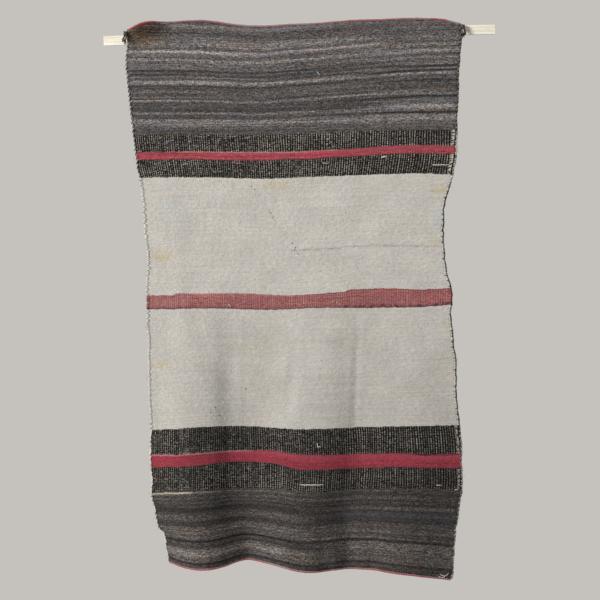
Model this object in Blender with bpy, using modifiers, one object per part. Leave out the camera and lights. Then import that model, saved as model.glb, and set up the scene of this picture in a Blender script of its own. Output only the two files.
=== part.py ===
"""Handwoven wool blanket, banded, hanging flat from a thin wooden lath.

Metres, +Z up. The origin is on the lath's back face, the face that lies against a wall, half way up
it and near the middle of the blanket. X runs along the lath and the blanket's front faces -Y. The
cloth is one sheet. Its outline is set by four edges, each a smooth curve through a short table, and
its depth by a table of folds.
"""
import math

import bmesh
import bpy
from mathutils import Vector

# Driving sizes
LATH_LEFT_END = -0.500
LATH_RIGHT_END = 0.540
LATH_WIDTH = 0.0254
LATH_THICKNESS = 0.006
LATH_EDGE_ROUND = 0.0008
CLOTH_THICKNESS = 0.003
LATH_CLEARANCE = 0.002
END_CORD_DIAMETER = 0.0045
SELVAGE_CORD_DIAMETER = 0.005
PIECE_GAP = 0.0005
TUFT_HEAD_DIAMETER = 0.013

# Cloth grid: columns across, rows down. Rows crowd towards both ends, where the edges curl.
CLOTH_COLUMNS = 44
CLOTH_ROWS = 48
ROW_CROWDING = 0.55
CORD_RESOLUTION = 2

# Where the cloth's middle layer hangs in front of the wall
HANG_Y = -(LATH_THICKNESS + LATH_CLEARANCE + CLOTH_THICKNESS / 2)

# Corners of the cloth, as (x, z)
TOP_LEFT = (-0.432, 0.019)
TOP_RIGHT = (0.446, 0.013)
BOTTOM_LEFT = (-0.365, -1.381)
BOTTOM_RIGHT = (0.376, -1.452)

# Side edges: share of the way down, left x, right x
SIDE_EDGES = (
    (0.00, -0.432, 0.446),
    (0.05, -0.437, 0.442),
    (0.11, -0.434, 0.432),
    (0.18, -0.426, 0.426),
    (0.24, -0.419, 0.420),
    (0.28, -0.410, 0.406),
    (0.32, -0.402, 0.386),
    (0.36, -0.400, 0.382),
    (0.40, -0.397, 0.380),
    (0.44, -0.396, 0.385),
    (0.48, -0.401, 0.397),
    (0.54, -0.402, 0.395),
    (0.60, -0.401, 0.403),
    (0.68, -0.401, 0.404),
    (0.75, -0.400, 0.411),
    (0.82, -0.403, 0.412),
    (0.88, -0.395, 0.400),
    (0.92, -0.378, 0.389),
    (0.95, -0.366, 0.383),
    (1.00, -0.365, 0.376),
)

# Top edge: share of the way across, z
TOP_EDGE = (
    (0.00, 0.019),
    (0.02, 0.025),
    (0.05, 0.034),
    (0.09, 0.038),
    (0.15, 0.041),
    (0.21, 0.042),
    (0.25, 0.039),
    (0.30, 0.031),
    (0.36, 0.024),
    (0.42, 0.022),
    (0.49, 0.024),
    (0.57, 0.025),
    (0.63, 0.028),
    (0.68, 0.030),
    (0.76, 0.030),
    (0.84, 0.031),
    (0.90, 0.029),
    (0.95, 0.025),
    (1.00, 0.013),
)

# Bottom edge: share of the way across, z
BOTTOM_EDGE = (
    (0.00, -1.381),
    (0.05, -1.391),
    (0.12, -1.396),
    (0.19, -1.392),
    (0.25, -1.383),
    (0.28, -1.382),
    (0.33, -1.388),
    (0.39, -1.397),
    (0.47, -1.411),
    (0.53, -1.414),
    (0.58, -1.413),
    (0.63, -1.413),
    (0.68, -1.414),
    (0.73, -1.416),
    (0.78, -1.422),
    (0.85, -1.430),
    (0.92, -1.440),
    (1.00, -1.452),
)

# Hanging folds that grow towards the bottom edge:
# share down where it starts, crest's share across there, crest's share across at the bottom,
# height at the bottom, reach to the left, reach to the right (both as shares across)
FOLDS = (
    (0.45, 0.165, 0.130, 0.052, 0.19, 0.17),
    (0.42, 0.620, 0.470, 0.044, 0.20, 0.15),
    (0.50, 0.830, 0.820, 0.032, 0.20, 0.22),
)

# Corner of the top edge that curls forward: crest's share across, reach across, height, reach down
CURL = (0.045, 0.085, 0.030, 0.036)

# Corner ties, a knot with a short tail just outside the cloth's edge:
# share of the way down, distance out from the edge, radius as a share of the head's
TUFT = (
    (0.000, 0.0090, 0.45),
    (0.005, 0.0125, 0.95),
    (0.012, 0.0130, 1.00),
    (0.019, 0.0115, 0.75),
    (0.026, 0.0090, 0.35),
)

# Colour, roughness, metallic
FINISHES = {
    "undyed_wool": ((0.30, 0.28, 0.26), 0.92, 0.0),
    "red_yarn": ((0.30, 0.045, 0.055), 0.90, 0.0),
    "dark_yarn": ((0.035, 0.028, 0.024), 0.92, 0.0),
    "pale_wood": ((0.56, 0.47, 0.33), 0.55, 0.0),
}


def clear_scene():
    for thing in list(bpy.data.objects):
        bpy.data.objects.remove(thing, do_unlink=True)


def make_collection(name):
    group = bpy.data.collections.new(name)
    bpy.context.scene.collection.children.link(group)
    return group


def make_material(name):
    colour, roughness, metallic = FINISHES[name]
    material = bpy.data.materials.new(name)
    material.use_nodes = True
    shader = material.node_tree.nodes["Principled BSDF"]
    shader.inputs["Base Color"].default_value = (*colour, 1.0)
    shader.inputs["Roughness"].default_value = roughness
    shader.inputs["Metallic"].default_value = metallic
    return material


def add_object(name, data, material, group):
    piece = bpy.data.objects.new(name, data)
    data.materials.append(material)
    group.objects.link(piece)
    return piece


def through_table(rows, column, at):
    """A smooth curve through one column of a table whose first column is where each row lies."""
    last = len(rows) - 1
    index = 0
    while index < last - 1 and rows[index + 1][0] < at:
        index += 1
    low, high = rows[index], rows[index + 1]
    span = high[0] - low[0]

    def slope(here):
        before = rows[max(here - 1, 0)]
        after = rows[min(here + 1, last)]
        return (after[column] - before[column]) / (after[0] - before[0])

    t = (at - low[0]) / span
    return (
        (2 * t ** 3 - 3 * t ** 2 + 1) * low[column]
        + (t ** 3 - 2 * t ** 2 + t) * span * slope(index)
        + (3 * t ** 2 - 2 * t ** 3) * high[column]
        + (t ** 3 - t ** 2) * span * slope(index + 1)
    )


def bell(distance, left_reach, right_reach):
    """One at the crest, falling smoothly to nothing at the reach on either side."""
    share = distance / (right_reach if distance > 0 else left_reach)
    return 0.5 + 0.5 * math.cos(math.pi * share) if abs(share) < 1 else 0.0


def stand_off(across, down):
    """How far the cloth stands forward of its flat hanging plane."""
    depth = 0.0
    for start, crest_top, crest_bottom, height, left_reach, right_reach in FOLDS:
        if down <= start:
            continue
        growth = (down - start) / (1 - start)
        crest = crest_top + (crest_bottom - crest_top) * growth
        depth += height * growth ** 1.3 * bell(across - crest, left_reach, right_reach)
    crest, reach, height, drop = CURL
    if down < drop:
        depth += height * (1 - down / drop) ** 2 * bell(across - crest, reach, reach)
    return depth


def cloth_point(across, down):
    """The cloth's middle layer at a share across and a share down, blended from its four edges."""
    left = (
        through_table(SIDE_EDGES, 1, down),
        TOP_LEFT[1] + (BOTTOM_LEFT[1] - TOP_LEFT[1]) * down,
    )
    right = (
        through_table(SIDE_EDGES, 2, down),
        TOP_RIGHT[1] + (BOTTOM_RIGHT[1] - TOP_RIGHT[1]) * down,
    )
    top_bow = through_table(TOP_EDGE, 1, across) - (
        TOP_LEFT[1] + (TOP_RIGHT[1] - TOP_LEFT[1]) * across)
    bottom_bow = through_table(BOTTOM_EDGE, 1, across) - (
        BOTTOM_LEFT[1] + (BOTTOM_RIGHT[1] - BOTTOM_LEFT[1]) * across)
    x = left[0] + (right[0] - left[0]) * across
    z = left[1] + (right[1] - left[1]) * across + top_bow * (1 - down) + bottom_bow * down
    return Vector((x, HANG_Y - stand_off(across, down), z))


def row_share(row):
    """Share of the way down for a grid row, with the rows closer together near both ends."""
    t = row / CLOTH_ROWS
    return t - ROW_CROWDING * math.sin(2 * math.pi * t) / (2 * math.pi)


def add_cloth(material, group):
    mesh = bpy.data.meshes.new("blanket_cloth")
    grid = bmesh.new()
    bmesh.ops.create_grid(grid, x_segments=CLOTH_COLUMNS, y_segments=CLOTH_ROWS, size=0.5)
    for corner in grid.verts:
        across = corner.co.x + 0.5
        row = round((0.5 - corner.co.y) * CLOTH_ROWS)
        corner.co = cloth_point(across, row_share(row))
    grid.to_mesh(mesh)
    grid.free()
    mesh.shade_smooth()
    cloth = add_object("blanket_cloth", mesh, material, group)
    sheet = cloth.modifiers.new("thickness", "SOLIDIFY")
    sheet.thickness = CLOTH_THICKNESS
    sheet.offset = 0.0
    return cloth


def add_tube(name, points, diameter, shares, material, group):
    """A round cord along points; shares scale the radius at each of them."""
    curve = bpy.data.curves.new(name, "CURVE")
    curve.dimensions = "3D"
    curve.bevel_depth = diameter / 2
    curve.bevel_resolution = CORD_RESOLUTION
    curve.use_fill_caps = True
    line = curve.splines.new("POLY")
    line.points.add(len(points) - 1)
    for target, point, share in zip(line.points, points, shares):
        target.co = (*point, 1.0)
        target.radius = share
    return add_object(name, curve, material, group)


def cord_line(stations, inward, diameter):
    """Points beside an edge of the cloth, square to it; inward leads a little way into the cloth."""
    edge = [cloth_point(across, down) for across, down in stations]
    points = []
    for index, (across, down) in enumerate(stations):
        along = edge[min(index + 1, len(edge) - 1)] - edge[max(index - 1, 0)]
        along.normalize()
        out = edge[index] - cloth_point(across + inward[0], down + inward[1])
        out -= along * out.dot(along)
        points.append(edge[index] + out.normalized() * (diameter / 2 + PIECE_GAP))
    return points


def add_edge_cords(red, dark, group):
    columns = [column / CLOTH_COLUMNS for column in range(CLOTH_COLUMNS + 1)]
    rows = [row_share(row) for row in range(CLOTH_ROWS + 1)]
    step = 0.004
    edges = (
        ("end_cord_top", [(share, 0.0) for share in columns], (0, step), END_CORD_DIAMETER, red),
        ("end_cord_bottom", [(share, 1.0) for share in columns], (0, -step), END_CORD_DIAMETER, red),
        ("selvage_cord_left", [(0.0, share) for share in rows], (step, 0), SELVAGE_CORD_DIAMETER, dark),
        ("selvage_cord_right", [(1.0, share) for share in rows], (-step, 0), SELVAGE_CORD_DIAMETER, dark),
    )
    for name, stations, inward, diameter, material in edges:
        points = cord_line(stations, inward, diameter)
        add_tube(name, points, diameter, [1.0] * len(points), material, group)


def add_tufts(material, group):
    """A tuft outside each top corner, in front of the lath that passes behind it."""
    front = -(LATH_THICKNESS + LATH_CLEARANCE + TUFT_HEAD_DIAMETER / 2)
    for name, across, outward in (("corner_tuft_left", 0.0, -1), ("corner_tuft_right", 1.0, 1)):
        points = []
        for down, out, _ in TUFT:
            edge = cloth_point(across, down)
            points.append(Vector((edge.x + outward * out, min(edge.y, front), edge.z)))
        shares = [share for _, _, share in TUFT]
        add_tube(name, points, TUFT_HEAD_DIAMETER, shares, material, group)


def add_lath(material, group):
    mesh = bpy.data.meshes.new("hanging_lath")
    box = bmesh.new()
    bmesh.ops.create_cube(box, size=1.0)
    length = LATH_RIGHT_END - LATH_LEFT_END
    bmesh.ops.scale(box, vec=(length, LATH_THICKNESS, LATH_WIDTH), verts=box.verts)
    box.to_mesh(mesh)
    box.free()
    lath = add_object("hanging_lath", mesh, material, group)
    lath.location = ((LATH_LEFT_END + LATH_RIGHT_END) / 2, -LATH_THICKNESS / 2, 0.0)
    rounding = lath.modifiers.new("edge_round", "BEVEL")
    rounding.width = LATH_EDGE_ROUND
    rounding.segments = 2
    return lath


def main():
    clear_scene()
    group = make_collection("handwoven_blanket_on_lath")
    wool = make_material("undyed_wool")
    red = make_material("red_yarn")
    dark = make_material("dark_yarn")
    wood = make_material("pale_wood")
    add_cloth(wool, group)
    add_edge_cords(red, dark, group)
    add_tufts(dark, group)
    add_lath(wood, group)


main()
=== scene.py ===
"""Looks of a banded, handwoven wool blanket that hangs from a thin wooden lath.

Metres, +Z up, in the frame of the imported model. The blanket's front faces -Y. The cloth is one sheet
on the solid's outline and folds, with finer creases, and its weave and bands are laid out in the
cloth's own coordinates: warps counted across and metres down from the top edge.
"""
import math
import random

import bpy
import numpy as np
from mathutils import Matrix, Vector


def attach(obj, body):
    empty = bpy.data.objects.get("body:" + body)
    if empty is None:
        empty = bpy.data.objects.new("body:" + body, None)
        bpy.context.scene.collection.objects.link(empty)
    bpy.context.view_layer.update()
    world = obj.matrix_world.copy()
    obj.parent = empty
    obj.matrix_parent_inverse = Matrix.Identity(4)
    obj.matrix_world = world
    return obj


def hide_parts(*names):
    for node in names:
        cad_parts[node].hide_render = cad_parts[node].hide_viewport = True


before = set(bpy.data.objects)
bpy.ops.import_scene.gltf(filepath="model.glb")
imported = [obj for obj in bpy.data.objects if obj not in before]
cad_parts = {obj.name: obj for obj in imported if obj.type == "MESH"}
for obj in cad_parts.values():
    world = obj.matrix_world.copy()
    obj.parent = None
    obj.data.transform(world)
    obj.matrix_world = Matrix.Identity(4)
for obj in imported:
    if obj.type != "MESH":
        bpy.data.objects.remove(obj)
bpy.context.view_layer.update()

# Camera, as the photograph was taken
CAMERA_DISTANCE = 3.0
CAMERA_ROLL = math.atan(0.0297)
FRAME_WIDTH = 1.59
FRAME_CENTRE = (0.0003, -0.010, -0.703)
SENSOR = 36.0

# Light: a large soft lamp at the front left, a weaker one behind, and an even light from all round
LIGHT_TARGET = (0.0, 0.0, -0.65)
KEY_PLACE = (-11.3, -6.8, 3.4)
KEY_SIZE = 4.5
KEY_POWER = 2950.0
BACK_PLACE = (2.4, 5.4, 1.6)
BACK_SIZE = 3.0
BACK_POWER = 240.0
ROOM_LIGHT = 0.36
ROOM_LIGHT_COLOUR = (0.93, 0.97, 1.0, 1.0)
ROOM_COLOUR = (197, 194, 189)

# Floor: half width, front and back edges, level; and its two colours
FLOOR = (7.0, -7.0, 0.05, -1.75)
FLOOR_COLOURS = ((214, 212, 208), (222, 220, 216))

# Lath: pale wood, deeper grain, pores
LATH_COLOURS = ((222, 217, 205), (204, 193, 170), (184, 166, 136))

# Sizes shared with the solids
LATH_THICKNESS = 0.006
LATH_CLEARANCE = 0.002
CLOTH_THICKNESS = 0.003
END_CORD_DIAMETER = 0.0045
SELVAGE_CORD_DIAMETER = 0.005
PIECE_GAP = 0.0005
HANG_Y = -(LATH_THICKNESS + LATH_CLEARANCE + CLOTH_THICKNESS / 2)

# Weave
WARP_COUNT = 136
WARP_CROWDING = 0.10
OUTER_WARPS = (134.4, 136.0)
WEFT_PITCH = 0.0021
GRID_PITCH = 0.0054
CLOTH_COLUMNS = 190
CLOTH_ROWS = 250

# Side edges: share of the way down, left x, right x
SIDE_EDGES = (
    (0.0, -0.432, 0.446), (0.05, -0.437, 0.442), (0.11, -0.434, 0.432), (0.18, -0.426, 0.426),
    (0.24, -0.419, 0.42), (0.28, -0.41, 0.406), (0.32, -0.402, 0.386), (0.36, -0.4, 0.382),
    (0.4, -0.397, 0.38), (0.44, -0.396, 0.385), (0.48, -0.401, 0.397), (0.54, -0.402, 0.395),
    (0.6, -0.401, 0.403), (0.68, -0.401, 0.404), (0.75, -0.4, 0.411), (0.82, -0.403, 0.412),
    (0.87, -0.402, 0.403), (0.886, -0.3985, 0.3985), (0.915, -0.3915, 0.3905), (0.934, -0.3865, 0.386),
    (0.948, -0.3735, 0.384), (0.972, -0.369, 0.38), (1.0, -0.364, 0.376),
)

# Top edge: share of the way across, z
TOP_EDGE = (
    (0.0, 0.019), (0.02, 0.025), (0.05, 0.034), (0.09, 0.038), (0.15, 0.041), (0.21, 0.042),
    (0.25, 0.039), (0.3, 0.031), (0.36, 0.024), (0.42, 0.022), (0.49, 0.024), (0.57, 0.025),
    (0.63, 0.028), (0.68, 0.03), (0.76, 0.03), (0.84, 0.031), (0.9, 0.029), (0.95, 0.025), (1.0, 0.013),
)

# Where the first weft would lie if the corners were not drawn down: share of the way across, z
TOP_LINE = (
    (0.0, 0.044), (0.1, 0.042), (0.2, 0.038), (0.3, 0.03), (0.36, 0.025), (0.42, 0.022), (0.49, 0.024),
    (0.57, 0.025), (0.63, 0.028), (0.76, 0.03), (1.0, 0.031),
)

# Bottom edge: share of the way across, z
BOTTOM_EDGE = (
    (0.0, -1.381), (0.05, -1.391), (0.12, -1.396), (0.19, -1.392), (0.25, -1.383), (0.28, -1.382),
    (0.33, -1.388), (0.39, -1.397), (0.47, -1.411), (0.53, -1.414), (0.58, -1.413), (0.63, -1.413),
    (0.68, -1.414), (0.73, -1.416), (0.78, -1.422), (0.85, -1.43), (0.92, -1.44), (1.0, -1.452),
)

# Hanging folds: share down where each starts, crest's share across there and at the bottom,
# height at the bottom, reach to the left and to the right as shares across
FOLDS = (
    (0.45, 0.165, 0.130, 0.049, 0.19, 0.17),
    (0.42, 0.620, 0.470, 0.042, 0.20, 0.175),
    (0.50, 0.830, 0.820, 0.030, 0.20, 0.22),
)

# Corner of the top edge that curls forward: crest's share across, reach across, height, reach down
CURL = (0.045, 0.085, 0.030, 0.036)

# Soft creases: x and z where each starts, x and z where it ends, half width, height (+ forward)
CREASES = (
    (-0.012, -0.79, -0.043, -1.04, 0.022, -0.0011), (0.153, -0.74, 0.126, -1.15, 0.016, -0.0017),
    (-0.19, -0.72, -0.208, -1.3, 0.04, -0.0034), (0.128, -1.23, 0.14, -1.5, 0.045, 0.006),
    (0.055, -0.85, 0.0, -1.36, 0.08, -0.0036), (-0.015, -1.29, -0.017, -1.5, 0.06, -0.0055),
    (0.076, -1.28, 0.084, -1.5, 0.05, 0.009), (0.262, -0.76, 0.262, -1.34, 0.1, -0.0042),
    (-0.33, -0.5, -0.3, -0.9, 0.045, 0.0016), (0.2, -0.42, 0.23, -0.66, 0.05, 0.0014),
)

# Puckers all over: cell across, cell down, height, seed
PUCKERS = (
    (0.160, 0.110, 0.0016, 11),
    (0.060, 0.034, 0.0007, 12),
    (0.028, 0.016, 0.0004, 13),
)

# Unevenness of the side edges: length along the edge, size, seed
SIDE_WOBBLES = (
    (0.042, 0.0020, 21),
    (0.013, 0.0014, 22),
)
WOBBLE_REACH = 0.05

# Lines where the weaver changed yarn, as z at shares of the way across:
# share, first dark band, red, dark, cream, faded red, cream, dark, red, dark, lower grey
BAND_LINES = (
    (0.0, -0.253, -0.3, -0.319, -0.367, -0.679, -0.715, -1.035, -1.1, -1.134, -1.199),
    (0.08, -0.254, -0.301, -0.321, -0.368, -0.6805, -0.717, -1.033, -1.101, -1.132, -1.195),
    (0.095, -0.254, -0.301, -0.321, -0.368, -0.6765, -0.717, -1.032, -1.1, -1.132, -1.195),
    (0.16, -0.256, -0.301, -0.321, -0.37, -0.678, -0.717, -1.029, -1.097, -1.128, -1.193),
    (0.24, -0.258, -0.304, -0.325, -0.372, -0.679, -0.719, -1.03, -1.096, -1.125, -1.194),
    (0.32, -0.261, -0.306, -0.329, -0.376, -0.681, -0.723, -1.033, -1.097, -1.127, -1.197),
    (0.4, -0.262, -0.308, -0.331, -0.379, -0.686, -0.726, -1.039, -1.1, -1.133, -1.198),
    (0.47, -0.262, -0.31, -0.329, -0.379, -0.69, -0.726, -1.043, -1.109, -1.148, -1.205),
    (0.54, -0.262, -0.31, -0.331, -0.378, -0.689, -0.725, -1.044, -1.112, -1.152, -1.209),
    (0.62, -0.262, -0.308, -0.328, -0.378, -0.686, -0.726, -1.044, -1.114, -1.152, -1.208),
    (0.65, -0.262, -0.308, -0.328, -0.378, -0.6845, -0.727, -1.044, -1.114, -1.152, -1.208),
    (0.675, -0.262, -0.307, -0.327, -0.377, -0.679, -0.728, -1.043, -1.114, -1.152, -1.207),
    (0.8, -0.261, -0.302, -0.323, -0.377, -0.679, -0.73, -1.044, -1.115, -1.151, -1.207),
    (0.9, -0.263, -0.302, -0.324, -0.377, -0.684, -0.731, -1.045, -1.121, -1.156, -1.211),
    (1.0, -0.265, -0.307, -0.328, -0.383, -0.683, -0.727, -1.046, -1.122, -1.16, -1.216),
)

# Each band in order: yarn, and where it starts, in metres down from the top edge along the cloth
BANDS = (
    ("upper_grey", 0.0), ("dark", 0.29), ("upper_red", 0.334), ("dark", 0.355), ("cream", 0.405),
    ("faded_red", 0.711), ("cream", 0.753), ("lower_dark", 1.069), ("lower_red", 1.134),
    ("lower_dark", 1.17), ("lower_grey", 1.233),
)
CLOTH_LENGTH = 1.445
LINE_BLUR = 0.0006

# Yarns: colour as sRGB, and how strong each habit is: pale warps showing through, unevenness from weft
# to weft, flecks, long streaks, tints, and the relief of the ribs
YARNS = {
    "upper_grey": ((85, 80, 78), 0.05, 0.95, 1.25, 0.90, 0.70, 0.15),
    "dark": ((12, 9, 8), 0.92, 1.00, 0.60, 0.40, 0.40, 1.00),
    "upper_red": ((140, 57, 65), 0.06, 0.55, 0.38, 0.75, 0.50, 0.40),
    "cream": ((173, 168, 160), 0.00, 0.03, 0.03, 0.14, 0.16, 0.12),
    "lower_dark": ((12, 9, 8), 0.67, 1.00, 0.60, 0.40, 0.40, 1.00),
    "faded_red": ((131, 74, 74), 0.56, 0.40, 0.40, 0.60, 0.60, 0.70),
    "lower_red": ((132, 46, 57), 0.05, 0.40, 0.28, 0.60, 0.50, 0.40),
    "lower_grey": ((62, 57, 54), 0.05, 1.00, 1.40, 0.75, 0.70, 0.15),
}
WARP_COLOUR = (198, 189, 174)
TONE_POWER = 3.2
TONE_RANGE = 1.6
DISPLAY_POWER = 2.2

# Tints that the colour is multiplied by
BLUISH = (0.90, 0.97, 1.12, 1.0)
BROWNISH = (1.07, 0.98, 0.90, 1.0)
# Painted brownish shade for the hollow under the curled top corner
PAINTED_HOLLOW_SHADE_TINT = (1.02, 0.74, 0.46, 1.0)
STAIN_TINT = (0.97, 0.90, 0.69, 1.0)
COOL_TINT = (0.93, 1.00, 1.08, 1.0)

# Painted shade: the lower half is darkened, standing in for light that falls off downwards: metres down
# where that begins and ends, and how much by then
PAINTED_LOWER_SHADE = (0.55, 1.10, 0.14)

# Tones of the grey yarns along the cloth, at the left and at the right: metres from the field's start
UPPER_LEFT = (
    (0.0, 0.95), (0.009, 1.12), (0.022, 0.88), (0.036, 0.94), (0.046, 1.08), (0.058, 1.16), (0.067, 0.9),
    (0.074, 1.34), (0.082, 0.98), (0.09, 1.0), (0.097, 1.24), (0.104, 0.98), (0.116, 1.06), (0.12, 0.98),
    (0.125, 0.74), (0.13, 0.98), (0.136, 0.74), (0.141, 1.04), (0.146, 0.86), (0.153, 1.22), (0.16, 1.08),
    (0.165, 0.72), (0.17, 0.88), (0.181, 0.98), (0.189, 0.88), (0.193, 0.96), (0.198, 0.82), (0.203, 1.2),
    (0.208, 0.86), (0.217, 0.87), (0.225, 0.78), (0.23, 0.84), (0.235, 1.12), (0.241, 0.86),
    (0.247, 0.84), (0.253, 1.14), (0.262, 1.12), (0.272, 0.9), (0.29, 0.86),
)
UPPER_RIGHT = (
    (0.0, 0.95), (0.01, 1.0), (0.03, 0.92), (0.046, 1.02), (0.058, 0.94), (0.066, 1.18), (0.073, 0.9),
    (0.083, 1.28), (0.091, 0.86), (0.1, 1.1), (0.106, 0.88), (0.115, 1.08), (0.118, 1.0), (0.1205, 0.66),
    (0.1235, 0.66), (0.126, 1.0), (0.129, 0.96), (0.1315, 0.66), (0.1345, 0.66), (0.137, 1.04),
    (0.14, 1.26), (0.146, 0.88), (0.151, 0.96), (0.155, 0.94), (0.158, 0.7), (0.162, 0.9), (0.178, 0.86),
    (0.186, 1.0), (0.193, 1.12), (0.198, 0.92), (0.1995, 0.62), (0.2025, 0.62), (0.205, 0.9),
    (0.212, 0.98), (0.223, 1.18), (0.231, 1.2), (0.239, 0.96), (0.242, 0.64), (0.2445, 0.64),
    (0.247, 1.02), (0.251, 1.14), (0.261, 1.14), (0.271, 0.98), (0.28, 0.94), (0.29, 0.82),
)
LOWER_LEFT = (
    (0.0, 0.92), (0.01, 1.12), (0.016, 0.92), (0.022, 1.14), (0.028, 0.88), (0.033, 1.04), (0.039, 0.82),
    (0.043, 0.98), (0.05, 0.76), (0.062, 0.88), (0.069, 1.1), (0.08, 1.08), (0.088, 0.84), (0.097, 0.92),
    (0.105, 1.22), (0.109, 1.06), (0.114, 1.22), (0.122, 1.02), (0.128, 1.18), (0.1355, 0.98),
    (0.1395, 0.5), (0.1435, 1.02), (0.154, 0.86), (0.16, 1.12), (0.168, 1.36), (0.179, 1.4), (0.186, 1.1),
    (0.195, 1.18), (0.199, 0.68), (0.204, 0.94), (0.212, 1.08),
)
LOWER_RIGHT = (
    (0.0, 1.02), (0.008, 0.94), (0.016, 0.86), (0.024, 1.06), (0.031, 0.84), (0.036, 0.94), (0.043, 0.84),
    (0.052, 1.16), (0.057, 0.82), (0.064, 0.92), (0.07, 0.98), (0.075, 0.84), (0.086, 0.86),
    (0.095, 1.12), (0.104, 1.02), (0.111, 1.18), (0.117, 0.94), (0.129, 1.16), (0.1345, 0.62),
    (0.139, 1.12), (0.155, 1.26), (0.165, 1.12), (0.188, 1.12), (0.194, 0.78), (0.2, 1.02), (0.212, 0.92),
)

# The upper stripes climb to the right: warp from which those of the left climb and metres a warp,
# and warp up to which those of the right lie lower and metres a warp
LEFT_STRIPES_RISE = (58.0, 0.00027)
RIGHT_STRIPES_FALL = (121.0, -0.00036)

# Metres down over which the upper stripes level out, read upwards
STRIPES_LEVEL_AGAIN = (0.27, 0.17)

# Warps between which the stripes change from the left's tones to the right's
UPPER_JOIN = (97.0, 116.0)
LOWER_JOIN = (61.0, 86.0)

# Warps between which the short pale dashes thin out, towards the right
DASHES_THIN_OUT = (112.0, 28.0)

# Odd weft threads: metres down at the left and right ends, first and last warp, half width in metres,
# colour, strength, and how broken it is
THREADS = (
    (0.3352, 0.3352, 19, 89, 0.0024, (160, 118, 108), 0.8, 0.5),
    (0.34, 0.34, 86, 141, 0.006, (128, 66, 74), 0.7, 0.3),
    (0.3544, 0.3544, -5, 141, 0.0016, (96, 46, 48), 0.6, 0.3),
    (0.732, 0.732, -5, 20, 0.017, (150, 112, 104), 0.4, 0.8),
    (0.7122, 0.7122, 22, 69, 0.0022, (158, 116, 108), 0.85, 0.2),
    (0.7122, 0.7122, 78, 141, 0.0018, (116, 70, 70), 0.7, 0.3),
    (0.7517, 0.7517, -5, 141, 0.0026, (66, 38, 44), 0.85, 0.3),
    (0.749, 0.748, 90, 137, 0.003, (56, 34, 38), 0.85, 0.8),
    (0.74, 0.741, 20, 56, 0.0016, (84, 56, 54), 0.7, 1.0),
    (1.141, 1.141, 37, 141, 0.008, (134, 60, 72), 0.6, 0.3),
    (1.1356, 1.1356, -5, 47, 0.0032, (148, 104, 106), 0.75, 0.3),
    (1.1362, 1.1362, 117, 124, 0.002, (26, 16, 18), 0.9, 0.0),
    (1.1366, 1.1366, 124, 140, 0.0014, (66, 24, 30), 0.75, 0.2),
    (1.169, 1.169, -5, 141, 0.0018, (88, 42, 46), 0.6, 0.3),
    (0.593, 0.5968, 69, 135, 0.0035, (119, 117, 114), 0.56, 0.4),
    (1.2385, 1.2395, -3, 19, 0.0032, (164, 155, 134), 0.9, 0.3),
    (1.2392, 1.2396, 17, 32, 0.0026, (138, 130, 116), 0.65, 0.6),
    (1.24, 1.239, 22, 65, 0.0014, (108, 102, 94), 0.6, 0.8),
    (1.2005, 1.2005, 1, 9, 0.0014, (124, 74, 72), 0.6, 0.5),
    (0.325, 0.324, 2, 56, 0.0016, (112, 66, 82), 0.5, 1.0),
    (1.304, 1.302, 84, 141, 0.015, (56, 57, 66), 0.26, 0.0),
    (1.3325, 1.3325, 92, 141, 0.002, (32, 28, 32), 0.6, 0.4),
    (1.384, 1.388, 84, 141, 0.002, (24, 22, 22), 0.8, 0.9),
    (0.0855, 0.055, 44, 98, 0.0014, (140, 106, 99), 0.55, 0.5),
    (0.0125, 0.0135, 86, 134, 0.0016, (108, 60, 70), 0.6, 0.8),
    (0.005, 0.006, 47, 132, 0.0022, (92, 100, 108), 0.6, 0.6),
    (0.312, 0.313, 9, 43, 0.0012, (70, 84, 100), 0.4, 1.0),
)

# Painted brownish shade in the hollow under the curled top corner: x, z, half width, half height, strength
PAINTED_HOLLOW_SHADE = (
    (-0.425, 0.014, 0.034, 0.02, 0.9), (-0.388, 0.026, 0.044, 0.014, 0.9),
    (-0.345, 0.028, 0.03, 0.01, 0.6), (-0.39, 0.0, 0.07, 0.03, 0.85),
)

# Soft stains and paler or cooler places: x, z, half width, half height, strength.
# Strength above 0 is yellowish, below 0 cool.
STAINS = (
    (0.376, -0.42, 0.04, 0.02, 1.25), (0.358, -0.557, 0.04, 0.012, 0.9),
    (-0.05, -0.398, 0.062, 0.024, 1.0), (-0.36, -0.576, 0.056, 0.028, 0.85),
    (-0.372, -0.864, 0.05, 0.02, 0.8), (-0.12, -0.82, 0.09, 0.06, 0.35), (0.376, -0.5, 0.034, 0.06, -0.9),
    (0.39, -0.79, 0.03, 0.02, 0.6), (0.39, -0.89, 0.024, 0.016, 0.6),
    (-0.372, -0.822, 0.048, 0.022, -0.4), (-0.335, -0.46, 0.09, 0.09, -0.45),
    (0.3, -0.95, 0.09, 0.06, 0.25), (0.1, -0.52, 0.09, 0.05, 0.15),
)

# Red yarns of the edge cords, dark and pale yarns of the selvages, as sRGB
CORD_RED = (150, 59, 67)
CORD_FADED = (132, 118, 116)
SELVAGE_DARK = (30, 25, 22)
SELVAGE_PALE = (178, 173, 164)

# How faded the red cords are: share of the way across, 0 fresh to 1 grey
TOP_FADING = (
    (0.0, 0.3), (0.03, 0.05), (0.09, 0.1), (0.105, 0.95), (0.16, 0.95), (0.18, 0.3), (0.32, 0.45),
    (0.38, 0.8), (0.5, 0.7), (0.6, 0.45), (0.84, 0.3), (0.88, 0.9), (0.9, 0.85), (0.91, 0.05),
    (0.955, 0.1), (0.967, 0.85), (1.0, 0.95),
)
BOTTOM_FADING = (
    (0.0, 0.6), (0.05, 0.25), (0.16, 0.1), (0.2, 0.55), (0.25, 0.2), (0.33, 0.3), (0.4, 0.7),
    (0.47, 0.55), (0.55, 0.2), (0.62, 0.45), (0.75, 0.1), (0.92, 0.15), (1.0, 0.5),
)

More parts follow.
